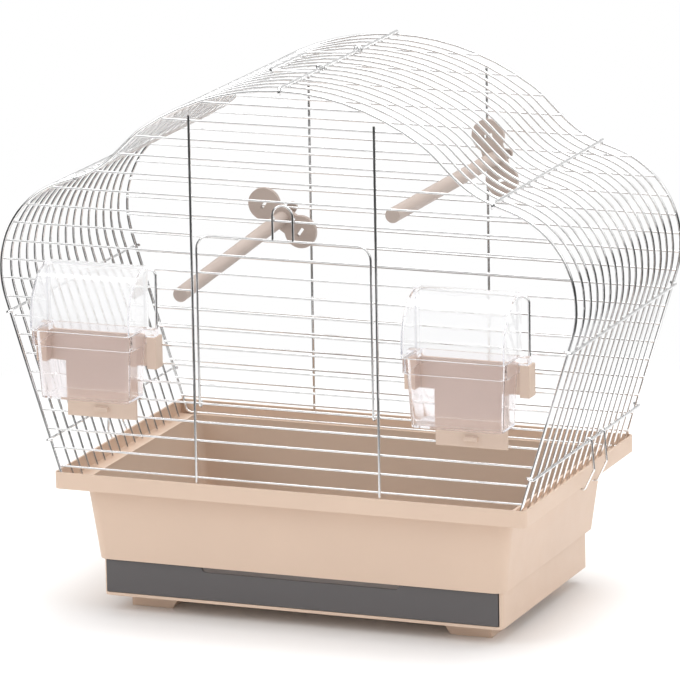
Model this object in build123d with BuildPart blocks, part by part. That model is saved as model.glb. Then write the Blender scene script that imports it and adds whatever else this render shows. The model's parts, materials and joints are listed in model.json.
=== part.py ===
"""Small-bird cage: a domed wire cage that stands in a moulded tray with a pull-out drawer.

Millimetres. +Z is up, -Y is the front, where the door and the two feeders are.
The pieces are drawn about a point on the floor under the middle of the wire cage, and moved as they
are saved, so that the origin is on the floor under the middle of the whole.
"""

from build123d import *
from math import acos, asin, atan, ceil, cos, degrees, radians, sin, sqrt, tan
import os

# How far the wire cage's middle is behind the origin
cage_middle_y = 20.1

# Wires
frame_wire = 2.6
hoop_wire = 2.2
bar_wire = 2.0
post_wire = 2.4
cross_wire = 2.4
door_wire = 2.0
clip_wire = 2.0
bail_wire = 2.6
wire_play = 0.3

# Bends of the wires are drawn in steps: how far a corner may stand off the bend, and its most degrees
bend_sag = 0.3
bend_most = 50.0

# Front and back panels: level bars at one pitch, numbered from the lowest
panel_depth = 265.0
bar_pitch = 16.0
bar_count = 21
first_bar_z = 129.0
post_half_spacing = 82.0
post_top_rise = 309.0
post_foot_drop = 6.0

# Roof outline, from the crown down one side; slopes in degrees below level
crown_rise = 333.5
crown_radius = 220.0
crown_slope = 34.0
brow_radius = 80.0
roof_slope = 44.5
roof_straight = 22.0
valley_radius = 90.0
valley_slope = 18.0
eave_straight = 14.4
bulge_radius = 82.0
leg_slope = 107.2

# Hoops between the panels, and the cross bars that tie them
hoop_count = 15
hoop_spacing = 16.1
side_bar_rise = 131.5
bottom_bar_rise = 23.0
hook_turn = 150.0
hook_gap = 0.05

# Moulded tray
rim_rise = -4.3
rim_height = 14.2
rim_wall = 2.0
rim_corner = 5.0
rim_wire_gap_x = 1.6
rim_wire_gap_y = 0.3
ledge_thick = 2.0
tray_top_half_width = 191.0
tray_top_half_depth = 119.0
tray_low_half_width = 183.0
tray_low_half_depth = 113.5
tray_corner = 10.0
tray_depth = 64.5
tray_wall = 2.5
tray_floor_lip = 9.0
tray_bead_height = 4.0
gusset_thick = 1.6
gusset_height = 12.0
gusset_reach = 15.0
gusset_front_y = -60.0
gusset_spacing = 28.0

# Drawer base under the tray
base_half_width = 180.0
base_front_y = -110.0
base_back_y = 104.0
base_wall = 2.8
base_floor = 2.7
base_corner = 7.0
foot_height = 13.6
foot_outer_x = 163.0
foot_width = 37.0
foot_flare = 9.0
foot_depth = 30.0
foot_setback = 22.0

# Drawer
drawer_play = 0.7
drawer_lift = 0.3
drawer_top_gap = 1.0
drawer_back_gap = 2.0
drawer_wall = 2.0
drawer_face = 3.0
drawer_scoop_width = 178.0
drawer_scoop_depth = 4.0

# Door
door_side_gap = 2.3
door_top_bar = 13
door_hinge_bar = 4
door_corner = 12.0
door_curl = 250.0
latch_half_width = 9.0
latch_hook_reach = 3.4
latch_rise = 2.2

# Feeder openings and feeders
feeder_x = 165.0
feeder_low_bar = 6
feeder_top_bar = 11
feeder_half_width = 50.0
feeder_corner = 6.0
feeder_leg_drop = 4.0
bracket_arm_half = 54.5
bracket_low_rise = 94.0
bracket_high_rise = 121.0
bracket_plate = 2.4
bracket_back_gap = 0.4
block_width = 8.5
block_depth = 14.6
block_bar_gap = 0.2
apron_half_width = 31.5
apron_low_rise = 46.5
nub_width = 12.0
nub_height = 4.0
nub_depth = 3.0
nub_rise = 7.5
cup_half_width = 43.0
cup_taper = 3.0
cup_depth = 39.5
cup_low_rise = 69.5
cup_wall = 1.8
cup_corner = 6.0
lip_width = 2.2
lip_height = 12.5
lip_top_rise = 127.5
ear_reach = 8.0
ear_depth = 9.0
ear_gap = 0.3
cup_gap = 0.4
hood_height = 52.5
hood_wall = 1.5
hood_gap = 0.2

# Perches: each passes between two level bars of the back panel, here counted in rows; angles in degrees
left_perch_x = -105.5
left_perch_bar = 10.5
left_perch_turn = -35.5
left_perch_swing = 1.5
left_perch_droop = 3.5
right_perch_x = 91.0
right_perch_bar = 14.5
right_perch_turn = -72.0
perch_d = 12.5
perch_length = 246.0
plate_thick = 4.0
plate_lobe = 14.5
plate_lobe_offset = 20.0
plate_waist = 20.0
plate_slot_length = 9.0
plate_slot_width = 3.0
neck_d = 9.0
lug_length = 26.0
lug_width = 9.0
lug_thick = 3.0

# Carrying handle
bail_half_width = 43.0
bail_reach = 47.0
bail_corner = 6.0
bail_curl = 290.0

# Clips that hold the cage down on the tray
clip_y = 19.0
clip_half_width = 16.0
clip_bow = 10.7
clip_bow_rise = 2.3
clip_hook = 3.3
clip_side_room = 0.9
clip_corner = 2.5
clip_curl = 250.0

# Levels and planes that several pieces share
front_y = -panel_depth / 2
back_y = panel_depth / 2
bar_offset = (frame_wire + bar_wire) / 2
front_bar_y = front_y + bar_offset
back_bar_y = back_y - bar_offset
post_offset = (post_wire + bar_wire) / 2
rim_top_z = first_bar_z + rim_rise
rim_low_z = rim_top_z - rim_height
ledge_z = rim_low_z + ledge_thick
foot_z = ledge_z + frame_wire / 2
tray_low_z = rim_low_z - tray_depth


def bar_z(row):
    """Height of a level bar, counted from the lowest."""
    return first_bar_z + row * bar_pitch


def bent(corners, across, side, faces=6):
    """A wire through corners, many-sided, with a flat towards the side given."""
    start = Plane(origin=corners[0], x_dir=side, z_dir=corners[1] - corners[0])
    with BuildPart() as run:
        with BuildLine() as path:
            Polyline(*corners)
        with BuildSketch(start) as section:
            RegularPolygon(across / 2, faces, major_radius=False, rotation=180 / faces)
        sweep(sections=section.sketch, path=path.wire(), transition=Transition.RIGHT)
    return run.part


def wire(route, across, side, faces=6):
    """A bent wire along a route, each bend in straight steps that touch its true arc from outside."""
    corners = [route @ 0]
    for edge in route.order_edges():
        if edge.geom_type == GeomType.CIRCLE:
            turn = edge.length / edge.radius
            count = ceil(turn / min(2 * acos(edge.radius / (edge.radius + bend_sag)), radians(bend_most)))
            middle = edge.arc_center
            for number in range(count):
                touch = edge @ ((number + 0.5) / count)
                corners.append(middle + (touch - middle) / cos(turn / count / 2))
    return bent(corners + [route @ 1], across, side, faces)


def straight(start, end, across, side, faces=6):
    """A straight wire between two points."""
    return bent([Vector(*start), Vector(*end)], across, side, faces)


def save(piece, name):
    """Move a finished piece to the origin that all share, name it and write it out."""
    placed = Pos(0, cage_middle_y, 0) * piece
    placed.label = name
    export_step(placed, f"parts/{name}.step")


os.makedirs("parts", exist_ok=True)
to_front = (0, -1, 0)
upward = (0, 0, 1)

# The outline of hoops and panel frames, crown to foot, drawn for the right side with x across and y up.
# It is in three stretches, roof, bulge and leg, which meet square at their ends.
with BuildLine() as roof_curve:
    crown = JernArc((0, first_bar_z + crown_rise), (1, 0), crown_radius, -crown_slope)
    brow = JernArc(crown @ 1, crown % 1, brow_radius, crown_slope - roof_slope)
    fall = PolarLine(brow @ 1, roof_straight, -roof_slope)
    valley = JernArc(fall @ 1, fall % 1, valley_radius, roof_slope - valley_slope)

with BuildLine() as bulge_curve:
    eave = PolarLine(valley @ 1, eave_straight, -valley_slope)
    bulge = JernArc(eave @ 1, eave % 1, bulge_radius, valley_slope - leg_slope)

leg_length = ((bulge @ 1).Y - foot_z) / sin(radians(leg_slope))
with BuildLine() as leg_curve:
    leg = PolarLine(bulge @ 1, leg_length, -leg_slope)


def half_width(z):
    """How far out the middle of the outline is at a height."""
    for line in (leg, bulge, eave, valley, fall, brow, crown):
        crossings = line.find_intersection_points(Axis((0, z, 0), (1, 0, 0)))
        if crossings:
            return crossings[0].X
    return 0


def leg_share(z):
    """How far down the outline's leg a height is, as a share of the leg."""
    return ((leg @ 0).Y - z) / ((leg @ 0).Y - (leg @ 1).Y)


def outside(line, share):
    """A point part way along a line of the outline, with the direction square to it and outwards."""
    place, along = line @ share, line % share
    return Vector(place.X, 0, place.Y), Vector(-along.Y, 0, along.X)


# Tray: a rim with a channel that the wire cage stands in, and a tapered well below it
wire_lean = leg_slope - 90
rim_half_width = half_width(rim_top_z) + frame_wire / 2 / cos(radians(wire_lean)) + rim_wire_gap_x + rim_wall
rim_half_depth = back_y + frame_wire / 2 + rim_wire_gap_y + rim_wall
with BuildPart() as tray:
    with BuildSketch(Plane.XY.offset(rim_low_z)):
        RectangleRounded(2 * rim_half_width, 2 * rim_half_depth, rim_corner)
    extrude(amount=rim_height)
    with BuildSketch(Plane.XY.offset(ledge_z)):
        Rectangle(2 * (rim_half_width - rim_wall), 2 * (rim_half_depth - rim_wall))
    extrude(amount=rim_height, mode=Mode.SUBTRACT)
    with BuildSketch(Plane.XY.offset(rim_low_z)):
        RectangleRounded(2 * tray_top_half_width, 2 * tray_top_half_depth, tray_corner)
    extrude(amount=ledge_thick + tray_bead_height)
    with BuildSketch(Plane.XY.offset(rim_low_z)):
        RectangleRounded(2 * tray_top_half_width, 2 * tray_top_half_depth, tray_corner)
    with BuildSketch(Plane.XY.offset(tray_low_z)):
        RectangleRounded(2 * tray_low_half_width, 2 * tray_low_half_depth, tray_corner)
    loft(ruled=True)
    for side in (1, -1):
        for y in (gusset_front_y, gusset_front_y + gusset_spacing):
            with BuildSketch(Plane.XZ.offset(-y)):
                with BuildLine():
                    Polyline(
                        (side * (tray_top_half_width - tray_wall), rim_low_z),
                        (side * (tray_top_half_width + gusset_reach), rim_low_z),
                        (side * (tray_top_half_width - tray_wall), rim_low_z - gusset_height),
                        close=True,
                    )
                make_face()
            extrude(amount=gusset_thick / 2, both=True)
    with BuildSketch(Plane.XY.offset(rim_low_z)):
        RectangleRounded(
            2 * (tray_top_half_width - tray_wall), 2 * (tray_top_half_depth - tray_wall), tray_corner - tray_wall
        )
    extrude(amount=rim_height, mode=Mode.SUBTRACT)
    with BuildSketch(Plane.XY.offset(rim_low_z)):
        RectangleRounded(
            2 * (tray_top_half_width - tray_wall), 2 * (tray_top_half_depth - tray_wall), tray_corner - tray_wall
        )
    with BuildSketch(Plane.XY.offset(tray_low_z + tray_wall)):
        RectangleRounded(
            2 * (tray_low_half_width - tray_wall), 2 * (tray_low_half_depth - tray_wall), tray_corner - tray_wall
        )
    loft(ruled=True, mode=Mode.SUBTRACT)
    with BuildSketch(Plane.XY.offset(tray_low_z)):
        Rectangle(
            2 * (tray_low_half_width - tray_wall - tray_floor_lip),
            2 * (tray_low_half_depth - tray_wall - tray_floor_lip),
        )
    extrude(amount=tray_wall, mode=Mode.SUBTRACT)
save(tray.part, "tray")

# Base that the drawer runs in, open at the front and the top, with four feet moulded on
base_depth = base_back_y - base_front_y
base_middle_y = (base_back_y + base_front_y) / 2
base_height = tray_low_z - foot_height
foot_inner_x = foot_outer_x - foot_width
with BuildPart() as drawer_base:
    with BuildSketch(Plane.XY.offset(foot_height)):
        with Locations((0, base_middle_y)):
            RectangleRounded(2 * base_half_width, base_depth, base_corner)
    extrude(amount=base_height)
    with BuildSketch(Plane.XY.offset(foot_height + base_floor)):
        with Locations((0, base_middle_y - base_wall)):
            Rectangle(2 * (base_half_width - base_wall), base_depth)
    extrude(amount=base_height, mode=Mode.SUBTRACT)
    for y in (base_front_y + foot_setback + foot_depth, base_back_y - foot_setback):
        for side in (1, -1):
            with BuildSketch(Plane.XZ.offset(-y)):
                with BuildLine():
                    Polyline(
                        (side * foot_inner_x, 0),
                        (side * foot_outer_x, 0),
                        (side * foot_outer_x, foot_height),
                        (side * (foot_inner_x - foot_flare), foot_height),
                        close=True,
                    )
                make_face()
            extrude(amount=foot_depth)
save(drawer_base.part, "drawer_base")

# Drawer, with a long finger scoop in the top of its front
drawer_low_z = foot_height + base_floor + drawer_lift
drawer_high_z = tray_low_z - drawer_top_gap
drawer_half_width = base_half_width - base_wall - drawer_play
drawer_back_y = base_back_y - base_wall - drawer_back_gap
drawer_depth = drawer_back_y - base_front_y
with BuildPart() as drawer:
    with BuildSketch(Plane.XY.offset(drawer_low_z)):
        with Locations((0, base_front_y + drawer_depth / 2)):
            Rectangle(2 * drawer_half_width, drawer_depth)
    extrude(amount=drawer_high_z - drawer_low_z)
    with BuildSketch(Plane.XY.offset(drawer_low_z + drawer_wall)):
        with Locations((0, base_front_y + drawer_face + (drawer_depth - drawer_face - drawer_wall) / 2)):
            Rectangle(2 * (drawer_half_width - drawer_wall), drawer_depth - drawer_face - drawer_wall)
    extrude(amount=drawer_high_z, mode=Mode.SUBTRACT)
    with BuildSketch(Plane.XZ.offset(-base_front_y)):
        with Locations((0, drawer_high_z)):
            SlotOverall(drawer_scoop_width, 2 * drawer_scoop_depth)
    extrude(amount=-drawer_face, mode=Mode.SUBTRACT)
save(drawer.part, "drawer")

# Hoops, square in section because there are so many of them
hoop_places = [(0, (number - (hoop_count - 1) / 2) * hoop_spacing, 0) for number in range(hoop_count)]
for name, curve in (("roof_hoops", roof_curve), ("side_hoops", bulge_curve), ("leg_hoops", leg_curve)):
    hoop = wire(Plane.XZ.from_local_coords(curve.wire()), hoop_wire, to_front, 4)
    with BuildPart() as right_hoops:
        with Locations(*hoop_places):
            add(hoop)
    save(right_hoops.part, f"{name}_right")
    with BuildPart() as left_hoops:
        mirror(right_hoops.part, about=Plane.YZ)
    save(left_hoops.part, f"{name}_left")

# Frame of the front and the back panel, closed by a wire that stands in the tray's channel
foot_wire_half = half_width(foot_z - frame_wire / 2) - frame_wire / 2 / cos(radians(wire_lean))
for name, y in (("front_frame", front_y), ("back_frame", back_y)):
    for stretch, curve in (("top", roof_curve), ("sides", bulge_curve), ("legs", leg_curve)):
        route = Plane.XZ.offset(-y).from_local_coords(curve.wire())
        with BuildPart() as frame:
            add(wire(route, frame_wire, to_front))
            mirror(about=Plane.YZ)
            if stretch == "legs":
                add(straight((-foot_wire_half, y, foot_z), (foot_wire_half, y, foot_z), frame_wire, upward))
        save(frame.part, f"{name}_{stretch}")


def level_bar(start_x, end_x, y, z, across=bar_wire):
    """A level bar from side to side."""
    return straight((start_x, y, z), (end_x, y, z), across, to_front)


# Level bars of the front panel, which stop at the door's posts and at the feeders' frames
feeder_inner_x = feeder_x - feeder_half_width
feeder_outer_x = feeder_x + feeder_half_width
with BuildPart() as front_bars:
    bars = []
    for row in range(bar_count):
        z = bar_z(row)
        ends = [half_width(z)]
        if feeder_low_bar < row < feeder_top_bar:
            ends += [feeder_outer_x, feeder_inner_x]
        if door_hinge_bar < row <= door_top_bar:
            ends += [post_half_spacing]
        else:
            bars.append(level_bar(-ends[0], ends[0], front_bar_y, z))
            continue
        for outer, inner in zip(ends[0::2], ends[1::2]):
            bars.append(level_bar(inner, outer, front_bar_y, z))
            bars.append(level_bar(-outer, -inner, front_bar_y, z))
    add(bars)
save(front_bars.part, "front_bars")

with BuildPart() as back_bars:
    add([level_bar(-half_width(bar_z(row)), half_width(bar_z(row)), back_bar_y, bar_z(row))
         for row in range(bar_count)])
save(back_bars.part, "back_bars")

# Upright posts, outside the level bars
post_low_z = first_bar_z - post_foot_drop
post_high_z = first_bar_z + post_top_rise
front_post_y = front_bar_y - post_offset
back_post_y = back_bar_y + post_offset
for name, y in (("front_posts", front_post_y), ("back_posts", back_post_y)):
    with BuildPart() as posts:
        for x in (-post_half_spacing, post_half_spacing):
            add(straight((x, y, post_low_z), (x, y, post_high_z), post_wire, to_front))
    save(posts.part, name)

# Cross bars outside the hoops, with their ends hooked round the two panel frames
hook_radius = frame_wire / sqrt(3) + cross_wire / 2 + hook_gap


def cross_bar(place, square):
    """A bar along the cage, lying outside the wires at a place of the outline."""
    plane = Plane(origin=place, x_dir=(0, 1, 0), z_dir=(square.Z, 0, -square.X))
    with BuildLine(plane) as route:
        back_hook = JernArc((back_y, hook_radius), (1, 0), hook_radius, -hook_turn)
        Line((back_y, hook_radius), (front_y, hook_radius))
        front_hook = JernArc((front_y, hook_radius), (-1, 0), hook_radius, hook_turn)
    return wire(route.wire(), cross_wire, (square.Z, 0, -square.X))


ridge_z = first_bar_z + crown_rise + hook_radius
with BuildPart() as ridge_bar:
    add(cross_bar(Vector(0, 0, first_bar_z + crown_rise), Vector(0, 0, 1)))
save(ridge_bar.part, "ridge_bar")
bottom_bar_share = leg_share(first_bar_z + bottom_bar_rise)
for name, line, share in (
    ("eave_bars", eave, 0),
    ("side_bars", leg, leg_share(first_bar_z + side_bar_rise)),
    ("bottom_bars", leg, bottom_bar_share),
):
    place, square = outside(line, share)
    with BuildPart() as pair:
        add(cross_bar(place, square))
        mirror(about=Plane.YZ)
    save(pair.part, name)

# Door: a bent wire whose lower ends curl round a level bar, its own bars, and a latch
door_half_width = post_half_spacing - post_wire / 2 - door_side_gap - door_wire / 2
hinge_radius = (bar_wire + door_wire) / 2 + wire_play
door_y = front_bar_y - hinge_radius
hinge_z = bar_z(door_hinge_bar)
door_top_z = bar_z(door_top_bar)


def curl(middle, radius, x_step, z_step, first, turn):
    """Arc of a curl about a middle; x_step and z_step are the ways that angle 0 and 90 point."""
    points = []
    for angle in (first, first + turn / 2, first + turn):
        across = x_step * (radius * cos(radians(angle)))
        rise = z_step * (radius * sin(radians(angle)))
        points.append(middle + across + rise)
    return ThreePointArc(*points)


with BuildPart() as door_frame:
    with BuildLine() as door_route:
        FilletPolyline(
            (-door_half_width, door_y, hinge_z),
            (-door_half_width, door_y, door_top_z),
            (door_half_width, door_y, door_top_z),
            (door_half_width, door_y, hinge_z),
            radius=door_corner,
        )
        for x in (-door_half_width, door_half_width):
            curl(Vector(x, front_bar_y, hinge_z), hinge_radius, Vector(0, 1, 0), Vector(0, 0, 1), 180, door_curl)
    add(wire(door_route.wire(), door_wire, (1, 0, 0), 4))
save(door_frame.part, "door_frame")

with BuildPart() as door_bars:
    door_bar_y = door_y + door_wire
    door_bar_half = door_half_width + door_wire / 2
    for row in range(door_hinge_bar + 1, door_top_bar):
        add(level_bar(-door_bar_half, door_bar_half, door_bar_y, bar_z(row), door_wire))
save(door_bars.part, "door_bars")

latch_bar_z = bar_z(door_top_bar + 1)
latch_low_z = door_top_z + door_wire / 2
stub_z = latch_bar_z + bar_wire / sqrt(3) + wire_play + door_wire / 2
latch_arch_z = stub_z + latch_rise
with BuildPart() as door_latch:
    with BuildLine() as latch_route:
        Line((-latch_half_width, door_y, latch_low_z), (-latch_half_width, door_y, latch_arch_z))
        ThreePointArc(
            (-latch_half_width, door_y, latch_arch_z),
            (0, door_y, latch_arch_z + latch_half_width),
            (latch_half_width, door_y, latch_arch_z),
        )
        Line((latch_half_width, door_y, latch_arch_z), (latch_half_width, door_y, latch_low_z))
    add(wire(latch_route.wire(), door_wire, to_front))
    for x in (-latch_half_width, latch_half_width):
        add(straight((x, door_y, stub_z), (x, door_y + latch_hook_reach, stub_z), door_wire, upward, 4))
save(door_latch.part, "door_latch")

# Feeders: a wire frame round each opening, a moulded bracket on it, a clear cup and a clear hood
feeder_low_z = bar_z(feeder_low_bar) - feeder_leg_drop
feeder_high_z = bar_z(feeder_top_bar)
bracket_low_z = first_bar_z + bracket_low_rise
bracket_high_z = first_bar_z + bracket_high_rise
bracket_back_y = front_post_y - post_wire / 2 - bracket_back_gap
bracket_front_y = bracket_back_y - bracket_plate
block_back_y = front_bar_y - bar_wire / 2 - block_bar_gap
block_front_y = block_back_y - block_depth
groove_width = post_wire + 2 * wire_play
groove_depth = block_back_y - (front_post_y - groove_width / 2)
apron_low_z = first_bar_z + apron_low_rise
cup_back_y = bracket_front_y - cup_gap
cup_low_z = first_bar_z + cup_low_rise
lip_high_z = first_bar_z + lip_top_rise
lip_low_z = lip_high_z - lip_height
lip_half_width = cup_half_width + lip_width
ear_low_z = bracket_high_z + ear_gap
hood_low_z = lip_high_z + hood_gap
hood_half_width = lip_half_width - hood_gap
hood_depth = cup_depth + lip_width - hood_gap
hood_high_z = hood_low_z + hood_height


def cup_outline(half_width, depth, inset, z):
    """A rounded plan of the cup at a height, with its back where the cup's back is."""
    with BuildSketch(Plane.XY.offset(z)) as plan:
        with Locations((0, cup_back_y - depth / 2)):
            RectangleRounded(2 * (half_width - inset), depth - 2 * inset, cup_corner - inset)
    return plan.sketch


def hood_block(inset):
    """The hood's outer form, or its hollow when there is an inset."""
    back = cup_back_y
    front = cup_back_y - hood_depth + inset
    top = hood_high_z - inset
    arch = hood_depth - inset
    with BuildPart() as block:
        with BuildSketch(Plane.YZ):
            with BuildLine():
                Line((back, top), (back, hood_low_z))
                Line((back, hood_low_z), (front, hood_low_z))
                Line((front, hood_low_z), (front, top - arch))
                RadiusArc((front, top - arch), (back, top), arch)
            make_face()
        extrude(amount=hood_half_width - inset, both=True)
    return block.part


with BuildPart() as cup:
    loft([cup_outline(cup_half_width, cup_depth, 0, lip_high_z),
          cup_outline(cup_half_width - cup_taper, cup_depth - cup_taper, 0, cup_low_z)],
         ruled=True)
    with BuildSketch(Plane.XY.offset(lip_low_z)):
        with Locations((0, cup_back_y - (cup_depth + lip_width) / 2)):
            RectangleRounded(2 * lip_half_width, cup_depth + lip_width, cup_corner)
    extrude(amount=lip_height)
    with BuildSketch(Plane.XY.offset(ear_low_z)):
        with Locations((0, cup_back_y - ear_depth / 2)):
            Rectangle(2 * (lip_half_width + ear_reach), ear_depth)
    extrude(amount=lip_high_z - ear_low_z)
    loft([cup_outline(cup_half_width, cup_depth, cup_wall, lip_high_z),
          cup_outline(cup_half_width - cup_taper, cup_depth - cup_taper, cup_wall, cup_low_z + cup_wall)],
         ruled=True, mode=Mode.SUBTRACT)

with BuildPart() as hood:
    add(hood_block(0))
    add(hood_block(hood_wall), mode=Mode.SUBTRACT)

with BuildPart() as bracket:
    with BuildSketch(Plane.XZ.offset(-bracket_back_y)):
        with Locations((0, (bracket_low_z + bracket_high_z) / 2)):
            Rectangle(2 * bracket_arm_half, bracket_high_z - bracket_low_z)
        with Locations((0, (apron_low_z + bracket_low_z) / 2)):
            Rectangle(2 * apron_half_width, bracket_low_z - apron_low_z)
    extrude(amount=bracket_plate)
    with BuildSketch(Plane.XY.offset(bracket_low_z)):
        for side in (1, -1):
            with Locations((side * (bracket_arm_half - block_width / 2), block_back_y - block_depth / 2)):
                Rectangle(block_width, block_depth)
    extrude(amount=bracket_high_z - bracket_low_z)
    with BuildSketch(Plane.XY.offset(bracket_low_z)):
        for side in (1, -1):
            with Locations((side * feeder_half_width, block_back_y - groove_depth / 2)):
                Rectangle(groove_width, groove_depth)
    extrude(amount=bracket_high_z - bracket_low_z, mode=Mode.SUBTRACT)
    with BuildSketch(Plane.XZ.offset(-bracket_front_y)):
        with Locations((0, apron_low_z + nub_rise)):
            Rectangle(nub_width, nub_height)
    extrude(amount=nub_depth)

for name, x in (("left", -feeder_x), ("right", feeder_x)):
    with BuildPart() as feeder_frame:
        with BuildLine() as feeder_route:
            FilletPolyline(
                (x - feeder_half_width, front_post_y, feeder_low_z),
                (x - feeder_half_width, front_post_y, feeder_high_z),
                (x + feeder_half_width, front_post_y, feeder_high_z),
                (x + feeder_half_width, front_post_y, feeder_low_z),
                radius=feeder_corner,
            )
        add(wire(feeder_route.wire(), post_wire, to_front))
    save(feeder_frame.part, f"feeder_frame_{name}")
    for piece, kind in ((bracket, "feeder_bracket"), (cup, "seed_cup"), (hood, "cup_hood")):
        with BuildPart(Location((x, 0, 0))) as placed:
            add(piece.part)
        save(placed.part, f"{kind}_{name}")

# Perches: a rod with a figure-eight plate inside the back bars and a turned lug behind them
perches = (
    ("perch_left", left_perch_x, left_perch_bar, left_perch_turn, left_perch_swing, left_perch_droop),
    ("perch_right", right_perch_x, right_perch_bar, right_perch_turn, 0, 0),
)
for name, x, row, turn, swing, droop in perches:
    forward = Vector(sin(radians(swing)), -cos(radians(swing)), -tan(radians(droop))).normalized()
    long_way = (cos(radians(turn)), 0, sin(radians(turn)))
    hub = Plane(origin=(x, back_bar_y, bar_z(row)), x_dir=long_way, z_dir=forward)
    tilt = sin(radians(forward.get_angle(Vector(to_front))))
    plate_z = bar_wire / 2 + wire_play + (plate_lobe_offset + plate_lobe) * tilt
    lug_z = post_offset + post_wire / 2 + wire_play + lug_length / 2 * tilt
    with BuildPart() as perch:
        with BuildSketch(hub.offset(plate_z)):
            for side in (1, -1):
                with Locations((side * plate_lobe_offset, 0)):
                    Circle(plate_lobe)
            Rectangle(2 * plate_lobe_offset, plate_waist)
            for side in (1, -1):
                with Locations((side * plate_lobe_offset, 0)):
                    Rectangle(plate_slot_width, plate_slot_length, mode=Mode.SUBTRACT)
        extrude(amount=plate_thick)
        with BuildSketch(hub.offset(-lug_z)):
            Circle(neck_d / 2)
        extrude(amount=lug_z + plate_z)
        with BuildSketch(hub.offset(plate_z)):
            Circle(perch_d / 2)
        extrude(amount=perch_length)
        with BuildSketch(hub.offset(-lug_z - lug_thick)):
            SlotOverall(lug_length, lug_width, rotation=90)
        extrude(amount=lug_thick)
    save(perch.part, name)
    print(name, "axis", tuple(forward), "through", tuple(hub.origin))

# Carrying handle: a bent wire whose ends curl round the ridge bar, folded flat on the crown
bail_radius = (cross_wire + bail_wire) / 2 + wire_play
crown_middle_z = first_bar_z + crown_rise - crown_radius
grip_from_crown = crown_radius + bend_sag + (hoop_wire + bail_wire) / 2 + wire_play
grip_drop = ridge_z - crown_middle_z - sqrt(grip_from_crown**2 - bail_reach**2)
bail_lean = degrees(asin(grip_drop / sqrt(bail_reach**2 + bail_radius**2)) - atan(bail_radius / bail_reach))
bail_plane = Plane(origin=(0, 0, ridge_z)).rotated((0, -bail_lean, 0))
with BuildPart() as carrying_handle:
    with BuildLine() as bail_route:
        corners = (
            (0, -bail_half_width, -bail_radius),
            (-bail_reach, -bail_half_width, -bail_radius),
            (-bail_reach, bail_half_width, -bail_radius),
            (0, bail_half_width, -bail_radius),
        )
        FilletPolyline(*[bail_plane.from_local_coords(corner) for corner in corners], radius=bail_corner)
        for y in (-bail_half_width, bail_half_width):
            pivot = Vector(0, y, ridge_z)
            curl(pivot, bail_radius, bail_plane.x_dir, bail_plane.z_dir, -90, bail_curl)
    add(wire(bail_route.wire(), bail_wire, (0, 1, 0), 4))
save(carrying_handle.part, "carrying_handle")

# Clips: bent wires that hang on the bottom cross bars and hook under the tray's rim
clip_radius = (cross_wire + clip_wire) / 2 + wire_play
place, square = outside(leg, bottom_bar_share)
clip_pivot = place + square * hook_radius
clip_cross_z = rim_low_z - wire_play - clip_wire / 2
clip_side_x = rim_half_width + clip_wire / 2 + wire_play + clip_side_room
for name, side in (("clip_right", 1), ("clip_left", -1)):
    with BuildPart() as clip:
        with BuildLine() as clip_route:
            near_y = clip_y - clip_half_width
            far_y = clip_y + clip_half_width
            down = [
                (clip_pivot.X + clip_radius, clip_pivot.Z),
                (rim_half_width + clip_bow, rim_top_z + clip_bow_rise),
                (clip_side_x, clip_cross_z),
                (rim_half_width - clip_hook, clip_cross_z),
            ]
            points = [(side * x, near_y, z) for x, z in down] + [(side * x, far_y, z) for x, z in down[::-1]]
            FilletPolyline(*points, radius=clip_corner)
            for y in (near_y, far_y):
                pivot = Vector(side * clip_pivot.X, y, clip_pivot.Z)
                curl(pivot, clip_radius, Vector(side, 0, 0), Vector(0, 0, 1), 0, clip_curl)
        add(wire(clip_route.wire(), clip_wire, (0, 1, 0), 4))
    save(clip.part, name)
print("ridge", ridge_z, "hinge", front_bar_y, hinge_z, "clip pivot", tuple(clip_pivot))
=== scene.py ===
import json
from math import asin, atan, cos, hypot, pi, radians, sin, sqrt, tan

import bmesh
import bpy
from mathutils import Matrix, Vector


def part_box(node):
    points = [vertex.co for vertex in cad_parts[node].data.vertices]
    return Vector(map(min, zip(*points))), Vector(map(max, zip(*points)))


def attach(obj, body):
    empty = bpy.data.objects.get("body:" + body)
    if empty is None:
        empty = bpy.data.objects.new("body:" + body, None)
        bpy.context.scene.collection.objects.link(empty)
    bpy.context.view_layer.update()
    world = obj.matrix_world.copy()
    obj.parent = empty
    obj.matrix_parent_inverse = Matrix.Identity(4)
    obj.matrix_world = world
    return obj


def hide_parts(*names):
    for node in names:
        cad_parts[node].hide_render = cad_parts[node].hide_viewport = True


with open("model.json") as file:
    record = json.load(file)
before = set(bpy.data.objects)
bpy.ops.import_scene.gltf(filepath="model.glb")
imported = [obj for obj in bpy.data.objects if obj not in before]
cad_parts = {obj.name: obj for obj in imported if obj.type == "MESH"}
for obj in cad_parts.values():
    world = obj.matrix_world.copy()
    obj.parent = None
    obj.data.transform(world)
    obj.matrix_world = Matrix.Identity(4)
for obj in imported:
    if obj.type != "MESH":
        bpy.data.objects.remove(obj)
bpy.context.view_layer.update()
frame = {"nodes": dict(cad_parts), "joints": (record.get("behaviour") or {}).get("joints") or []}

# Sizes of the wires, in metres
FRAME_WIRE = 0.0026
HOOP_WIRE = 0.0022
BAR_WIRE = 0.002
POST_WIRE = 0.0024
CROSS_WIRE = 0.0024
DOOR_WIRE = 0.002
CLIP_WIRE = 0.002
BAIL_WIRE = 0.0026
WIRE_PLAY = 0.0003
WIRE_SIDES = 12
ARC_STEP = radians(5)
BEND_STEP = radians(15)
BACKWARDS = Vector((0, 1, 0))
UPWARDS = Vector((0, 0, 1))

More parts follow.
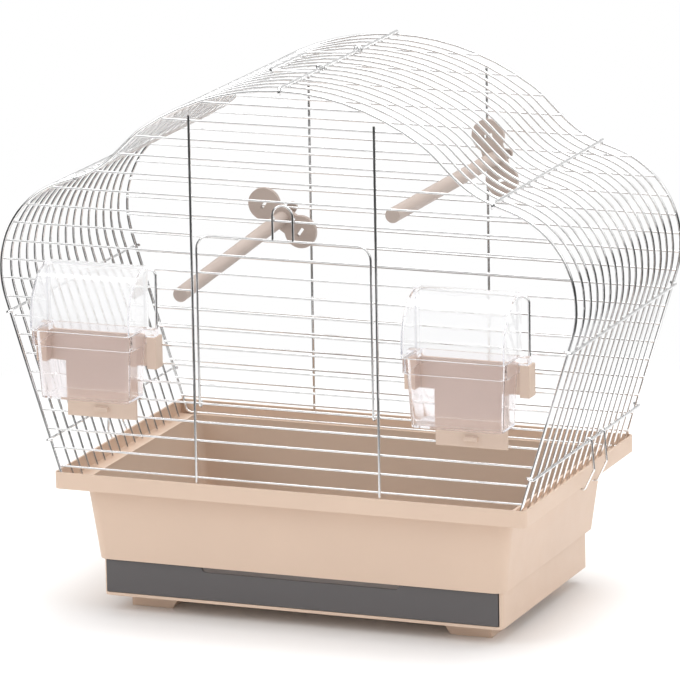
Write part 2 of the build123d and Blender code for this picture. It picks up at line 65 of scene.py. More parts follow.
# The outline of the hoops, from the crown down: an arc as a radius and a turn in degrees, a run as a length
CROWN_Z = 0.4625
ROOF = (
    ("arc", 0.220, -34),
    ("arc", 0.080, -10.5),
    ("run", 0.022),
    ("arc", 0.090, 26.5),
    ("run", 0.0144),
)
BULGE = ("arc", 0.082, -89.2)
FOOT_CORNER = 0.006
SHARP_WIRE_EDGE = radians(50)

# Panels, bars and hoops
BAR_PITCH = 0.016
BAR_COUNT = 21
HOOP_COUNT = 15
HOOP_SPACING = 0.0161
DOOR_ROWS = (4, 13)
FEEDER_ROWS = (6, 11)
POST_X = 0.082
FEEDER_X = 0.165
FEEDER_HALF = 0.050


def joint_place(name):
    """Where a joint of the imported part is."""
    return [joint["pos_m"] for joint in frame["joints"] if joint["name"] == name][0]


def add_object(name, mesh, body, replaced, material):
    """Put a finished mesh in the scene as a piece that rides on a body and stands for CAD nodes."""
    piece = bpy.data.objects.new(name, mesh)
    bpy.context.scene.collection.objects.link(piece)
    mesh.materials.clear()
    mesh.materials.append(material)
    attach(piece, body)
    if replaced:
        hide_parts(*replaced)
    return piece


def add_wires(name, routes, thickness, body, replaced):
    """Round zinc wires along lists of points, as one piece."""
    return add_object(name, round_wires(name, routes, thickness), body, replaced, ZINC)


def round_wires(name, routes, thickness):
    """A mesh of round closed wires along lists of points."""
    curve = bpy.data.curves.new(name + "_curve", "CURVE")
    curve.dimensions = "3D"
    curve.bevel_depth = thickness / 2
    curve.bevel_resolution = (WIRE_SIDES - 4) // 2
    curve.use_fill_caps = True
    for route in routes:
        spline = curve.splines.new("POLY")
        spline.points.add(len(route) - 1)
        for point, place in zip(spline.points, route):
            point.co = (*place, 1)
    holder = bpy.data.objects.new(name + "_curve", curve)
    bpy.context.scene.collection.objects.link(holder)
    mesh = bpy.data.meshes.new_from_object(holder)
    bpy.data.objects.remove(holder)
    mesh.name = name
    shape = bmesh.new()
    shape.from_mesh(mesh)
    bmesh.ops.remove_doubles(shape, verts=shape.verts, dist=1e-6)
    bmesh.ops.recalc_face_normals(shape, faces=shape.faces)
    shape.to_mesh(mesh)
    shape.free()
    mesh.shade_smooth()
    mesh.set_sharp_from_angle(angle=SHARP_WIRE_EDGE)
    return mesh


def outline():
    """The right half of the outline, crown to foot, as x, z and the way it heads at each point."""
    x, z, heading = 0.0, CROWN_Z, 0.0
    points = [(x, z, heading)]
    for kind, *values in ROOF + (BULGE,):
        if kind == "run":
            x += values[0] * cos(heading)
            z += values[0] * sin(heading)
            points.append((x, z, heading))
            continue
        radius, turn = values[0], radians(values[1])
        way = 1 if turn > 0 else -1
        middle_x = x - way * radius * sin(heading)
        middle_z = z + way * radius * cos(heading)
        steps = max(2, round(abs(turn) / ARC_STEP))
        for step in range(1, steps + 1):
            now = heading + turn * step / steps
            points.append((middle_x + way * radius * sin(now), middle_z - way * radius * cos(now), now))
        x, z, heading = points[-1]
    foot_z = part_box("front_frame_legs")[0].z + FRAME_WIRE / 2
    length = (z - foot_z) / -sin(heading)
    points.append((x + length * cos(heading), foot_z, heading))
    return points


OUTLINE = outline()


def half_width(z):
    """The outline's half width at a height, where it crosses that height lowest down."""
    for (x_a, z_a, _), (x_b, z_b, _) in zip(OUTLINE[::-1], OUTLINE[-2::-1]):
        if z_a <= z <= z_b:
            return x_a + (z - z_a) / (z_b - z_a) * (x_b - x_a)
    return 0.0


def hoop_route(y):
    """A whole hoop from its left foot over the crown to its right foot."""
    right = [Vector((x, y, z)) for x, z, heading in OUTLINE]
    left = [Vector((-x, y, z)) for x, z, heading in OUTLINE[:0:-1]]
    return left + right


def rounded(points, radius):
    """A path of points with each corner made an arc."""
    points = [Vector(point) for point in points]
    route = [points[0]]
    for before, corner, after in zip(points, points[1:], points[2:]):
        back = (before - corner).normalized()
        ahead = (after - corner).normalized()
        turn = pi - back.angle(ahead)
        reach = radius * tan(turn / 2)
        middle = corner + (back + ahead).normalized() * (radius / cos(turn / 2))
        start = corner + back * reach - middle
        axis = back.cross(ahead).normalized()
        steps = max(3, round(turn / BEND_STEP))
        for step in range(steps + 1):
            route.append(middle + Matrix.Rotation(-turn * step / steps, 3, axis) @ start)
    return route + [points[-1]]


def curl(middle, radius, across, up, first, turn):
    """Points of a curl about a middle, in degrees; angle 0 points across and angle 90 up."""
    steps = max(4, round(radians(abs(turn)) / BEND_STEP))
    angles = [radians(first + turn * step / steps) for step in range(steps + 1)]
    return [middle + across * (radius * cos(angle)) + up * (radius * sin(angle)) for angle in angles]


# Materials: what they share is in two node groups, one for moulded plastic and one for plated wire
def link(tree, source, target):
    """Join two sockets."""
    tree.links.new(source, target)


def make_group(name, inputs, outputs):
    """A shader node group with named sockets; returns it with its input and output nodes."""
    group = bpy.data.node_groups.new(name, "ShaderNodeTree")
    for label, kind, value in inputs:
        socket = group.interface.new_socket(name=label, in_out="INPUT", socket_type=kind)
        socket.default_value = value
    for label, kind in outputs:
        group.interface.new_socket(name=label, in_out="OUTPUT", socket_type=kind)
    return group, group.nodes.new("NodeGroupInput"), group.nodes.new("NodeGroupOutput")


def noise(tree, vector, scale, detail, roughness=0.5):
    """A noise texture on given coordinates."""
    node = tree.nodes.new("ShaderNodeTexNoise")
    node.inputs["Scale"].default_value = scale
    node.inputs["Detail"].default_value = detail
    node.inputs["Roughness"].default_value = roughness
    link(tree, vector, node.inputs["Vector"])
    return node.outputs["Fac"]


def remap(tree, value, low, high, to_low, to_high):
    """A value mapped from one range to another."""
    node = tree.nodes.new("ShaderNodeMapRange")
    node.inputs["From Min"].default_value = low
    node.inputs["From Max"].default_value = high
    for label, target in (("To Min", to_low), ("To Max", to_high)):
        if isinstance(target, (int, float)):
            node.inputs[label].default_value = target
        else:
            link(tree, target, node.inputs[label])
    link(tree, value, node.inputs["Value"])
    return node.outputs["Result"]


def arithmetic(tree, operation, first, second):
    """Two values put together."""
    node = tree.nodes.new("ShaderNodeMath")
    node.operation = operation
    for socket, value in zip(node.inputs, (first, second)):
        if isinstance(value, (int, float)):
            socket.default_value = value
        else:
            link(tree, value, socket)
    return node.outputs[0]


def mix_colour(tree, share, first, second):
    """Two colours mixed."""
    node = tree.nodes.new("ShaderNodeMix")
    node.data_type = "RGBA"
    for label, value in (("Factor", share), ("A", first), ("B", second)):
        socket = [s for s in node.inputs if s.name == label and s.enabled][0]
        if isinstance(value, (int, float, tuple)):
            socket.default_value = value
        else:
            link(tree, value, socket)
    return [s for s in node.outputs if s.enabled][0]


def moulded_surface():
    """Moulded plastic: faint clouds and specks in the colour, rubbed patches in the gloss, a fine grain."""
    group, given, out = make_group(
        "moulded_surface",
        (
            ("Vector", "NodeSocketVector", (0, 0, 0)),
            ("Colour", "NodeSocketColor", (0.8, 0.7, 0.6, 1)),
            ("Shade", "NodeSocketColor", (0.7, 0.6, 0.5, 1)),
            ("Roughness", "NodeSocketFloat", 0.4),
            ("Grain", "NodeSocketFloat", 1500.0),
        ),
        (("Colour", "NodeSocketColor"), ("Roughness", "NodeSocketFloat"), ("Height", "NodeSocketFloat")),
    )
    place = given.outputs["Vector"]
    clouds = noise(group, place, scale=14, detail=3)
    specks = noise(group, place, scale=700, detail=2)
    cloud_share = remap(group, clouds, 0.35, 0.7, 0, 0.35)
    speck_share = remap(group, specks, 0.62, 0.8, 0, 0.3)
    share = arithmetic(group, "ADD", cloud_share, speck_share)
    colour = mix_colour(group, share, given.outputs["Colour"], given.outputs["Shade"])
    link(group, colour, out.inputs["Colour"])
    patches = noise(group, place, scale=60, detail=4, roughness=0.6)
    rubbed = remap(group, patches, 0.3, 0.75, -0.05, 0.07)
    link(group, arithmetic(group, "ADD", given.outputs["Roughness"], rubbed), out.inputs["Roughness"])
    grain = group.nodes.new("ShaderNodeTexNoise")
    grain.inputs["Detail"].default_value = 2
    link(group, place, grain.inputs["Vector"])
    link(group, given.outputs["Grain"], grain.inputs["Scale"])
    link(group, grain.outputs["Fac"], out.inputs["Height"])
    return group


def plated_surface():
    """Bright zinc plate on wire: a spangle in its brightness, dull patches and fine marks."""
    group, given, out = make_group(
        "plated_surface",
        (
            ("Vector", "NodeSocketVector", (0, 0, 0)),
            ("Colour", "NodeSocketColor", (0.8, 0.8, 0.8, 1)),
            ("Shade", "NodeSocketColor", (0.5, 0.5, 0.5, 1)),
            ("Roughness", "NodeSocketFloat", 0.2),
        ),
        (("Colour", "NodeSocketColor"), ("Roughness", "NodeSocketFloat"), ("Height", "NodeSocketFloat")),
    )
    place = given.outputs["Vector"]
    spangle = noise(group, place, scale=420, detail=2)
    dull = noise(group, place, scale=35, detail=3)
    share = remap(group, spangle, 0.4, 0.75, 0, 0.35)
    colour = mix_colour(group, share, given.outputs["Colour"], given.outputs["Shade"])
    link(group, colour, out.inputs["Colour"])
    rubbed = remap(group, dull, 0.35, 0.7, -0.06, 0.1)
    link(group, arithmetic(group, "ADD", given.outputs["Roughness"], rubbed), out.inputs["Roughness"])
    link(group, noise(group, place, scale=1800, detail=3), out.inputs["Height"])
    return group


MOULDED = moulded_surface()
PLATED = plated_surface()
GRAIN_RELIEF = 0.0001
CLEAR_IOR = 1.46
TRAPPED_DEPTH = 4.5
THIN_TINT = (0.94, 0.94, 0.955, 1)


def surface_material(name, group, settings, shader_settings, bump):
    """A material whose colour, gloss and bump come from a shared group with its own values."""
    material = bpy.data.materials.new(name)
    material.use_nodes = True
    tree = material.node_tree
    shader = tree.nodes["Principled BSDF"]
    for label, value in shader_settings.items():
        shader.inputs[label].default_value = value
    place = tree.nodes.new("ShaderNodeTexCoord")
    finish = tree.nodes.new("ShaderNodeGroup")
    finish.node_tree = group
    link(tree, place.outputs["Object"], finish.inputs["Vector"])
    for label, value in settings.items():
        finish.inputs[label].default_value = value
    link(tree, finish.outputs["Colour"], shader.inputs["Base Color"])
    link(tree, finish.outputs["Roughness"], shader.inputs["Roughness"])
    relief = tree.nodes.new("ShaderNodeBump")
    relief.inputs["Strength"].default_value = bump
    relief.inputs["Distance"].default_value = GRAIN_RELIEF
    link(tree, finish.outputs["Height"], relief.inputs["Height"])
    link(tree, relief.outputs["Normal"], shader.inputs["Normal"])
    return material


def let_light_through(material):
    """Shadow, bounce and long trapped rays pass straight through a clear material, as if it were thin."""
    tree = material.node_tree
    shader = tree.nodes["Principled BSDF"]
    path = tree.nodes.new("ShaderNodeLightPath")
    clear = tree.nodes.new("ShaderNodeBsdfTransparent")
    clear.inputs["Color"].default_value = THIN_TINT
    trapped = arithmetic(tree, "GREATER_THAN", path.outputs["Ray Depth"], TRAPPED_DEPTH)
    dull = arithmetic(tree, "MAXIMUM", path.outputs["Is Shadow Ray"], path.outputs["Is Diffuse Ray"])
    mixed = tree.nodes.new("ShaderNodeMixShader")
    link(tree, arithmetic(tree, "MAXIMUM", dull, trapped), mixed.inputs[0])
    link(tree, shader.outputs["BSDF"], mixed.inputs[1])
    link(tree, clear.outputs["BSDF"], mixed.inputs[2])
    link(tree, mixed.outputs["Shader"], tree.nodes["Material Output"].inputs["Surface"])


ZINC = surface_material(
    "zinc_wire", PLATED,
    {"Colour": (0.9, 0.9, 0.9, 1), "Shade": (0.7, 0.7, 0.71, 1), "Roughness": 0.12},
    {"Metallic": 1.0}, 0.12,
)
BEIGE_TRAY = surface_material(
    "beige_tray", MOULDED,
    {
        "Colour": (0.66, 0.5, 0.39, 1), "Shade": (0.61, 0.46, 0.36, 1),
        "Roughness": 0.42, "Grain": 1500.0,
    },
    {"Specular IOR Level": 0.4}, 0.2,
)
BEIGE_FITTINGS = surface_material(
    "beige_fittings", MOULDED,
    {
        "Colour": (0.6, 0.46, 0.367, 1), "Shade": (0.55, 0.42, 0.338, 1),
        "Roughness": 0.38, "Grain": 1800.0,
    },
    {"Specular IOR Level": 0.4}, 0.2,
)
# The perches' beige is the fittings' beige made darker: painted shade, for the shade the perches sit in
PERCH_SHADED_BEIGE = surface_material(
    "perch_beige_painted_shade", MOULDED,
    {
        "Colour": (0.46, 0.38, 0.335, 1), "Shade": (0.41, 0.335, 0.3, 1),
        "Roughness": 0.45, "Grain": 1800.0,
    },
    {"Specular IOR Level": 0.35}, 0.25,
)
GREY_DRAWER = surface_material(
    "grey_drawer", MOULDED,
    {
        "Colour": (0.09, 0.083, 0.084, 1), "Shade": (0.097, 0.09, 0.091, 1),
        "Roughness": 0.36, "Grain": 1200.0,
    },
    {"Specular IOR Level": 0.5}, 0.03,
)
CLEAR_CUP = surface_material(
    "clear_cup", MOULDED,
    {
        "Colour": (0.985, 0.962, 0.966, 1), "Shade": (0.975, 0.952, 0.958, 1),
        "Roughness": 0.06, "Grain": 500.0,
    },
    {"Transmission Weight": 1.0, "IOR": CLEAR_IOR}, 0.03,
)
CLEAR_HOOD = surface_material(
    "clear_hood", MOULDED,
    {
        "Colour": (0.985, 0.985, 0.99, 1), "Shade": (0.96, 0.96, 0.97, 1),
        "Roughness": 0.05, "Grain": 500.0,
    },
    {"Transmission Weight": 1.0, "IOR": CLEAR_IOR}, 0.03,
)
for clear_material in (CLEAR_CUP, CLEAR_HOOD):
    let_light_through(clear_material)


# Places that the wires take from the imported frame
def row_z(row):
    """Height of a level bar, counted from the lowest."""
    return LOW_BAR_Z + row * BAR_PITCH


def node_middle(node):
    """The middle of a node's box."""
    low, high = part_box(node)
    return (low + high) / 2


FRONT_Y = node_middle("front_frame_top").y
BACK_Y = node_middle("back_frame_top").y
MIDDLE_Y = (FRONT_Y + BACK_Y) / 2
FRONT_BAR_Y = node_middle("front_bars").y
BACK_BAR_Y = node_middle("back_bars").y
LOW_BAR_Z = node_middle("front_bars").z - (BAR_COUNT - 1) * BAR_PITCH / 2
FOOT_X, FOOT_Z, FOOT_HEADING = OUTLINE[-1]


def panel_frame(name, y, nodes):
    """The bent wire round a panel, closed along the bottom in the tray's channel."""
    side = [Vector((x, y, z)) for x, z, heading in OUTLINE[:-1]]
    corner = rounded([side[-1], (FOOT_X, y, FOOT_Z), (0, y, FOOT_Z)], FOOT_CORNER)
    right = side + corner[1:]
    left = [Vector((-point.x, point.y, point.z)) for point in right[::-1]]
    return add_wires(name, [left[:-1] + right], FRAME_WIRE, "cage", nodes)


for side, y in (("front", FRONT_Y), ("back", BACK_Y)):
    panel_frame(f"{side}_panel_frame", y, [f"{side}_frame_{part}" for part in ("top", "sides", "legs")])

hoop_places = [MIDDLE_Y + (number - (HOOP_COUNT - 1) / 2) * HOOP_SPACING for number in range(HOOP_COUNT)]
hoop_nodes = [f"{part}_hoops_{side}" for part in ("roof", "side", "leg") for side in ("left", "right")]
add_wires("cage_hoops", [hoop_route(y) for y in hoop_places], HOOP_WIRE, "cage", hoop_nodes)


def bar_ends(row):
    """The outer end of a level bar and the places where the front panel's openings cut it."""
    ends = [half_width(row_z(row))]
    if FEEDER_ROWS[0] < row < FEEDER_ROWS[1]:
        ends += [FEEDER_X + FEEDER_HALF, FEEDER_X - FEEDER_HALF]
    if DOOR_ROWS[0] < row <= DOOR_ROWS[1]:
        ends += [POST_X]
    return ends


front_routes = []
back_routes = []
for row in range(BAR_COUNT):
    z = row_z(row)
    ends = bar_ends(row)
    back_routes.append([(-ends[0], BACK_BAR_Y, z), (ends[0], BACK_BAR_Y, z)])
    if len(ends) == 1:
        front_routes.append([(-ends[0], FRONT_BAR_Y, z), (ends[0], FRONT_BAR_Y, z)])
    for outer, inner in zip(ends[0::2], ends[1::2]):
        front_routes.append([(inner, FRONT_BAR_Y, z), (outer, FRONT_BAR_Y, z)])
        front_routes.append([(-outer, FRONT_BAR_Y, z), (-inner, FRONT_BAR_Y, z)])
for name, routes in (("front_bars", front_routes), ("back_bars", back_routes)):
    add_wires(f"{name}_round", routes, BAR_WIRE, "cage", [name])

for name in ("front_posts", "back_posts"):
    low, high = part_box(name)
    y = (low.y + high.y) / 2
    routes = [[(x, y, low.z), (x, y, high.z)] for x in (-POST_X, POST_X)]
    add_wires(f"{name}_round", routes, POST_WIRE, "cage", [name])

# Cross bars with hooked ends: the ridge bar, and pairs at the eaves, on the sides and low down
HOOK_PLAY = 0.0002
HOOK_RADIUS = (FRAME_WIRE + CROSS_WIRE) / 2 + HOOK_PLAY
HOOK_TURN = 150
SIDE_BAR_Z = 0.2605
BOTTOM_BAR_Z = 0.152
BULGE_STEPS = round(radians(-BULGE[2]) / ARC_STEP)


def cross_route(x, z, square):
    """A bar along the cage outside the hoops, hooked round both panel frames."""
    middle_front = Vector((x, FRONT_Y, z))
    middle_back = Vector((x, BACK_Y, z))
    front = curl(middle_front, HOOK_RADIUS, square, -BACKWARDS, 0, HOOK_TURN)
    back = curl(middle_back, HOOK_RADIUS, square, BACKWARDS, 0, HOOK_TURN)
    return front[::-1] + back


cross_places = {
    "eave_bars": OUTLINE[-2 - BULGE_STEPS - 1],
    "side_bars": (half_width(SIDE_BAR_Z), SIDE_BAR_Z, FOOT_HEADING),
    "bottom_bars": (half_width(BOTTOM_BAR_Z), BOTTOM_BAR_Z, FOOT_HEADING),
}
cross_spots = {"ridge_bar": [(0.0, CROWN_Z, 0.0)]}
for name, (x, z, heading) in cross_places.items():
    cross_spots[name] = [(x, z, heading), (-x, z, -heading)]
for name, spots in cross_spots.items():
    routes = [cross_route(x, z, Vector((-sin(heading), 0, cos(heading)))) for x, z, heading in spots]
    add_wires(f"{name}_round", routes, CROSS_WIRE, "cage", [name])

# Door: a frame that curls round its hinge bar, eight bars, and a sprung latch with two stubs
DOOR_Y = FRONT_BAR_Y - (BAR_WIRE + DOOR_WIRE) / 2 - WIRE_PLAY
DOOR_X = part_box("door_frame")[1].x - DOOR_WIRE / 2
DOOR_TOP_Z = row_z(DOOR_ROWS[1])
HINGE_Z = row_z(DOOR_ROWS[0])
HINGE_RADIUS = (BAR_WIRE + DOOR_WIRE) / 2 + WIRE_PLAY
DOOR_CORNER = 0.012
DOOR_CURL = 250

hinge = Vector((-DOOR_X, FRONT_BAR_Y, HINGE_Z))
door_curl = curl(hinge, HINGE_RADIUS, BACKWARDS, UPWARDS, 180, DOOR_CURL)
door_bend = rounded(
    [(-DOOR_X, DOOR_Y, HINGE_Z), (-DOOR_X, DOOR_Y, DOOR_TOP_Z), (0, DOOR_Y, DOOR_TOP_Z)], DOOR_CORNER
)
door_half = door_curl[:0:-1] + door_bend[:-1]
door_route = door_half + [Vector((-point.x, point.y, point.z)) for point in door_half[::-1]]
add_wires("door_wire", [door_route], DOOR_WIRE, "door", ["door_frame"])

door_bar_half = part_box("door_bars")[1].x
door_bar_y = DOOR_Y + DOOR_WIRE
routes = [
    [(-door_bar_half, door_bar_y, row_z(row)), (door_bar_half, door_bar_y, row_z(row))]
    for row in range(DOOR_ROWS[0] + 1, DOOR_ROWS[1])
]
add_wires("door_bars_round", routes, DOOR_WIRE, "door", ["door_bars"])

LATCH_X = 0.009
LATCH_RISE = 0.0022
STUB_Z = row_z(DOOR_ROWS[1] + 1) + BAR_WIRE / sqrt(3) + WIRE_PLAY + DOOR_WIRE / 2
LATCH_ARCH_Z = STUB_Z + LATCH_RISE
arch = curl(Vector((0, DOOR_Y, LATCH_ARCH_Z)), LATCH_X, Vector((-1, 0, 0)), UPWARDS, 0, 180)
latch_route = [Vector((-LATCH_X, DOOR_Y, DOOR_TOP_Z))] + arch + [Vector((LATCH_X, DOOR_Y, DOOR_TOP_Z))]
latch_back_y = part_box("door_latch")[1].y
stubs = [[(x, DOOR_Y, STUB_Z), (x, latch_back_y, STUB_Z)] for x in (-LATCH_X, LATCH_X)]
add_wires("door_latch_round", [latch_route] + stubs, DOOR_WIRE, "door", ["door_latch"])

# Wire frames of the feeder openings
FEEDER_CORNER = 0.006
for side, middle in (("left", -FEEDER_X), ("right", FEEDER_X)):
    low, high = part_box(f"feeder_frame_{side}")
    y = (low.y + high.y) / 2
    top = row_z(FEEDER_ROWS[1])
    route = rounded(
        [
            (middle - FEEDER_HALF, y, low.z), (middle - FEEDER_HALF, y, top),
            (middle + FEEDER_HALF, y, top), (middle + FEEDER_HALF, y, low.z),
        ],
        FEEDER_CORNER,
    )
    add_wires(f"feeder_wire_{side}", [route], POST_WIRE, "cage", [f"feeder_frame_{side}"])

# Carrying handle, folded flat on the crown. BEND_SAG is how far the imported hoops' stepped bends stand off
# the true arc, and the handle lies clear of it.
RIDGE_Z = joint_place("handle_fold")[2]
BAIL_REACH = 0.047
BAIL_HALF = 0.043
BAIL_CORNER = 0.006
BAIL_CURL = 290
BAIL_RADIUS = (CROSS_WIRE + BAIL_WIRE) / 2 + WIRE_PLAY
BEND_SAG = 0.0003
crown_radius = ROOF[0][1]
grip_from_crown = crown_radius + BEND_SAG + (HOOP_WIRE + BAIL_WIRE) / 2 + WIRE_PLAY
grip_drop = RIDGE_Z - (CROWN_Z - crown_radius) - sqrt(grip_from_crown**2 - BAIL_REACH**2)
bail_lean = asin(grip_drop / hypot(BAIL_REACH, BAIL_RADIUS)) - atan(BAIL_RADIUS / BAIL_REACH)
bail_across = Vector((cos(bail_lean), 0, sin(bail_lean)))
bail_up = Vector((-sin(bail_lean), 0, cos(bail_lean)))
ridge = Vector((0, MIDDLE_Y, RIDGE_Z))
arm_start = ridge - bail_up * BAIL_RADIUS - Vector((0, BAIL_HALF, 0))
arm_end = arm_start - bail_across * BAIL_REACH
bail_curl = curl(ridge - Vector((0, BAIL_HALF, 0)), BAIL_RADIUS, bail_across, bail_up, -90, BAIL_CURL)
bail_bend = rounded([arm_start, arm_end, Vector((arm_end.x, MIDDLE_Y, arm_end.z))], BAIL_CORNER)
bail_half = bail_curl[:0:-1] + bail_bend[:-1]
bail_route = bail_half + [Vector((point.x, 2 * MIDDLE_Y - point.y, point.z)) for point in bail_half[::-1]]
add_wires("handle_wire", [bail_route], BAIL_WIRE, "handle", ["carrying_handle"])

# Clips at the sides: each curls round its cross bar, stands off the tray's rim and hooks in under it
CLIP_HALF = 0.016
CLIP_CURL = 250
CLIP_RADIUS = (CROSS_WIRE + CLIP_WIRE) / 2 + WIRE_PLAY
CLIP_BEND = 0.0025
KNEE_OUT = 0.0107
KNEE_UP = 0.0023
TOE_OUT = 0.0022
TOE_IN = 0.0033
rim_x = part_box("tray")[1].x
rim_top_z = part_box("tray")[1].z
clip_pivot_x, clip_y, clip_pivot_z = joint_place("clip_right_swing")
clip_low_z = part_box("clip_right")[0].z + CLIP_WIRE / 2
for name, side in (("clip_right", 1), ("clip_left", -1)):
    pivot = Vector((side * clip_pivot_x, clip_y - CLIP_HALF, clip_pivot_z))
    turned = curl(pivot, CLIP_RADIUS, Vector((side, 0, 0)), UPWARDS, 0, CLIP_CURL)
    down = rounded(
        [
            (side * (clip_pivot_x + CLIP_RADIUS), pivot.y, clip_pivot_z),
            (side * (rim_x + KNEE_OUT), pivot.y, rim_top_z + KNEE_UP),
            (side * (rim_x + TOE_OUT), pivot.y, clip_low_z),
            (side * (rim_x - TOE_IN), pivot.y, clip_low_z),
            (side * (rim_x - TOE_IN), clip_y, clip_low_z),
        ],
        CLIP_BEND,
    )
    half = turned[:0:-1] + down[:-1]
    route = half + [Vector((point.x, 2 * clip_y - point.y, point.z)) for point in half[::-1]]
    add_wires(f"{name}_wire", [route], CLIP_WIRE, name, [name])


# Moulded pieces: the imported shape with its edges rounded
SAME_FLAT = radians(0.6)
ROUNDED_FROM = radians(32)
SHARP_MOULDED_EDGE = radians(40)


def softened(name, node, body, width, material, merge=True):
    """A CAD node's shape with its edges rounded off, as on a moulding; merge joins up its flat areas."""
    mesh = frame["nodes"][node].data.copy()
    mesh.name = name
    shape = bmesh.new()
    shape.from_mesh(mesh)
    bmesh.ops.remove_doubles(shape, verts=shape.verts, dist=1e-6)
    if merge:
        bmesh.ops.dissolve_limit(shape, angle_limit=SAME_FLAT, verts=shape.verts, edges=shape.edges)
    edges = [edge for edge in shape.edges if edge.is_manifold and edge.calc_face_angle(0) > ROUNDED_FROM]
    bmesh.ops.bevel(
        shape, geom=edges, offset=width, offset_type="OFFSET", segments=3, profile=0.5,
        affect="EDGES", material=-1, clamp_overlap=True,
    )
    shape.to_mesh(mesh)
    shape.free()
    mesh.shade_smooth()
    mesh.set_sharp_from_angle(angle=SHARP_MOULDED_EDGE)
    piece = add_object(name, mesh, body, [node], material)
    weighted = piece.modifiers.new("even_shading", "WEIGHTED_NORMAL")
    weighted.keep_sharp = True
    return piece


TRAY_EDGE = 0.0007
DRAWER_EDGE = 0.0006
BRACKET_EDGE = 0.0005
CLEAR_EDGE = 0.0004
PERCH_EDGE = 0.0012
softened("tray_shell", "tray", "cage", TRAY_EDGE, BEIGE_TRAY, merge=False)
softened("drawer_base_shell", "drawer_base", "cage", TRAY_EDGE, BEIGE_TRAY)
softened("drawer_shell", "drawer", "drawer", DRAWER_EDGE, GREY_DRAWER)
for side in ("left", "right"):
    bracket, cup, hood = f"bracket_{side}", f"cup_{side}", f"hood_{side}"
    softened(bracket, f"feeder_{bracket}", "cage", BRACKET_EDGE, BEIGE_FITTINGS)
    softened(cup, f"seed_{cup}", cup, CLEAR_EDGE, CLEAR_CUP)
    softened(hood, f"cup_{hood}", hood, CLEAR_EDGE, CLEAR_HOOD)
    perch = f"perch_{side}"
    softened(f"{perch}_rod", perch, perch, PERCH_EDGE, PERCH_SHADED_BEIGE)


# Floor, world, lights and camera. The camera sees white all round. What a surface mirrors is a white
# sweep behind the cage and dark studio past the floor's edge elsewhere, which darkens the upright wires.
FLOOR_HALF = 8.0
FLOOR_COLOUR = (0.9, 0.9, 0.9, 1)
FLOOR_ROUGHNESS = 0.7
DARK = 0.02

# How far from the middle the floor turns plain white, or dark to the sides, and where the sweep begins
WHITE_FROM = 0.45
WHITE_FULL = 0.9
SIDE_FROM = 0.5
SIDE_FULL = 0.75
SWEEP_Y = 1.0
STUDIO_Y = 0.3
FLOOR_DARKENED = 0.96

# The sky's strength for dull and for mirrored rays, and its dark part as parts of a ray's direction
SKY_DIFFUSE = 0.75
SKY_GLOSSY = 1.1
SKY_SIDE_FROM = 0.3
SKY_SIDE_FULL = 0.55
SKY_LOW_FULL = 0.35
SKY_LOW_END = 0.65
SKY_DARKENED = 0.35


def ray_kinds(tree):
    """Masks for rays that a surface mirrors, and for rays seen by the camera or through clear plastic."""
    path = tree.nodes.new("ShaderNodeLightPath")
    through = arithmetic(tree, "GREATER_THAN", path.outputs["Transmission Depth"], 0.5)
    mirrored = arithmetic(tree, "SUBTRACT", path.outputs["Is Glossy Ray"], through)
    beyond = arithmetic(tree, "SUBTRACT", through, path.outputs["Is Diffuse Ray"])
    seen = arithmetic(tree, "MAXIMUM", path.outputs["Is Camera Ray"], beyond)
    return arithmetic(tree, "GREATER_THAN", mirrored, 0.5), arithmetic(tree, "GREATER_THAN", seen, 0.5)


def sideways(tree, vector, start, end):
    """0 near the middle plane and 1 well out to the left or the right; also the vector's parts."""
    parts = tree.nodes.new("ShaderNodeSeparateXYZ")
    link(tree, vector, parts.inputs["Vector"])
    return remap(tree, arithmetic(tree, "ABSOLUTE", parts.outputs["X"], 0), start, end, 0, 1), parts


def floor_material():
    """White floor: shaded near the cage, plain white further off, dark out there in reflections only."""
    material = bpy.data.materials.new("floor_white")
    material.use_nodes = True
    tree = material.node_tree
    shader = tree.nodes["Principled BSDF"]
    shader.inputs["Base Color"].default_value = FLOOR_COLOUR
    shader.inputs["Roughness"].default_value = FLOOR_ROUGHNESS
    place = tree.nodes.new("ShaderNodeNewGeometry")
    length = tree.nodes.new("ShaderNodeVectorMath")
    length.operation = "LENGTH"
    link(tree, place.outputs["Position"], length.inputs[0])
    far = remap(tree, length.outputs["Value"], WHITE_FROM, WHITE_FULL, 0, 1)
    side, parts = sideways(tree, place.outputs["Position"], SIDE_FROM, SIDE_FULL)
    mirrored, seen = ray_kinds(tree)
    not_behind = remap(tree, parts.outputs["Y"], SWEEP_Y, STUDIO_Y, 0, FLOOR_DARKENED)
    darkened = arithmetic(tree, "MULTIPLY", arithmetic(tree, "MAXIMUM", side, far), not_behind)
    seen_share = arithmetic(tree, "MULTIPLY", far, seen)
    mirrored_share = arithmetic(tree, "MULTIPLY", darkened, mirrored)
    share = arithmetic(tree, "ADD", seen_share, mirrored_share)
    colour = mix_colour(tree, mirrored, (1, 1, 1, 1), (DARK, DARK, DARK, 1))
    plain = tree.nodes.new("ShaderNodeEmission")
    link(tree, colour, plain.inputs["Color"])
    mixed = tree.nodes.new("ShaderNodeMixShader")
    link(tree, arithmetic(tree, "MINIMUM", share, 1), mixed.inputs[0])
    link(tree, shader.outputs["BSDF"], mixed.inputs[1])
    link(tree, plain.outputs["Emission"], mixed.inputs[2])
    link(tree, mixed.outputs["Shader"], tree.nodes["Material Output"].inputs["Surface"])
    return material


floor_shape = bmesh.new()
bmesh.ops.create_grid(floor_shape, x_segments=1, y_segments=1, size=FLOOR_HALF)
floor_mesh = bpy.data.meshes.new("floor")
floor_shape.to_mesh(floor_mesh)
floor_shape.free()
floor = bpy.data.objects.new("floor", floor_mesh)
bpy.context.scene.collection.objects.link(floor)
floor_mesh.materials.append(floor_material())


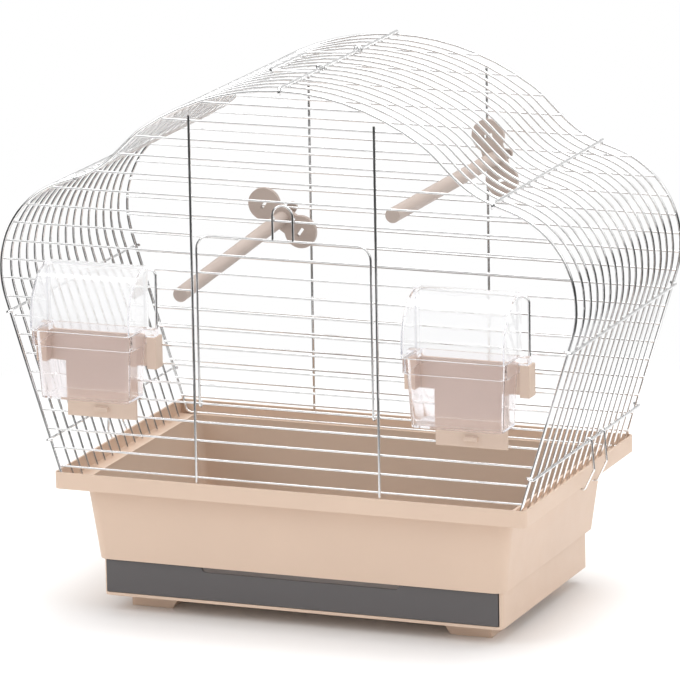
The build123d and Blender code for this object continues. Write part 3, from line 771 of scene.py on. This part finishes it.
def soft_light(name, place, aim, size, power):
    """A large square softbox."""
    lamp = bpy.data.lights.new(name, "AREA")
    lamp.shape = "SQUARE"
    lamp.size = size
    lamp.energy = power
    holder = bpy.data.objects.new(name, lamp)
    holder.location = place
    holder.rotation_euler = (Vector(aim) - Vector(place)).to_track_quat("-Z", "Y").to_euler()
    bpy.context.scene.collection.objects.link(holder)


soft_light("top_softbox", (0.2, 0.3, 2.6), aim=(0, 0, 0.2), size=2.4, power=60)
soft_light("left_softbox", (-2.2, -1.8, 1.6), aim=(0, 0, 0.25), size=1.4, power=22)
soft_light("right_softbox", (2.4, -0.6, 1.4), aim=(0, 0, 0.25), size=1.2, power=12)

world = bpy.data.worlds.new("studio")
bpy.context.scene.world = world
world.use_nodes = True
sky = world.node_tree
sky.nodes["Background"].inputs["Color"].default_value = (1, 1, 1, 1)
direction = sky.nodes.new("ShaderNodeTexCoord").outputs["Generated"]
side, parts = sideways(sky, direction, SKY_SIDE_FROM, SKY_SIDE_FULL)
low = remap(sky, parts.outputs["Z"], SKY_LOW_FULL, SKY_LOW_END, 1, 0)
darkened = arithmetic(sky, "MULTIPLY", arithmetic(sky, "MAXIMUM", side, SKY_DARKENED), low)
glossy = remap(sky, darkened, 0, 1, SKY_GLOSSY, DARK)
mirrored, seen = ray_kinds(sky)
by_gloss = remap(sky, mirrored, 0, 1, SKY_DIFFUSE, glossy)
link(sky, remap(sky, seen, 0, 1, by_gloss, 1), sky.nodes["Background"].inputs["Strength"])
bpy.context.scene.view_settings.view_transform = "Standard"

# Camera at the photo's viewing angle: its place in metres, its turns in degrees
CAMERA_PLACE = (1.90266, MIDDLE_Y - 4.7624, 1.43881)
CAMERA_AZIMUTH = 21.818
CAMERA_ELEVATION = 13.333
CAMERA_ROLL = 0.981
FOCAL_PIXELS = 6228.58
FRAME_PIXELS = 680
lens = bpy.data.cameras.new("photo_view")
lens.sensor_width = 36
lens.lens = FOCAL_PIXELS / FRAME_PIXELS * lens.sensor_width
camera = bpy.data.objects.new("photo_view", lens)
camera.location = CAMERA_PLACE
turned = (
    Matrix.Rotation(radians(CAMERA_AZIMUTH), 4, "Z")
    @ Matrix.Rotation(radians(90 - CAMERA_ELEVATION), 4, "X")
    @ Matrix.Rotation(radians(-CAMERA_ROLL), 4, "Z")
)
camera.rotation_euler = turned.to_euler()
bpy.context.scene.collection.objects.link(camera)
bpy.context.scene.camera = camera
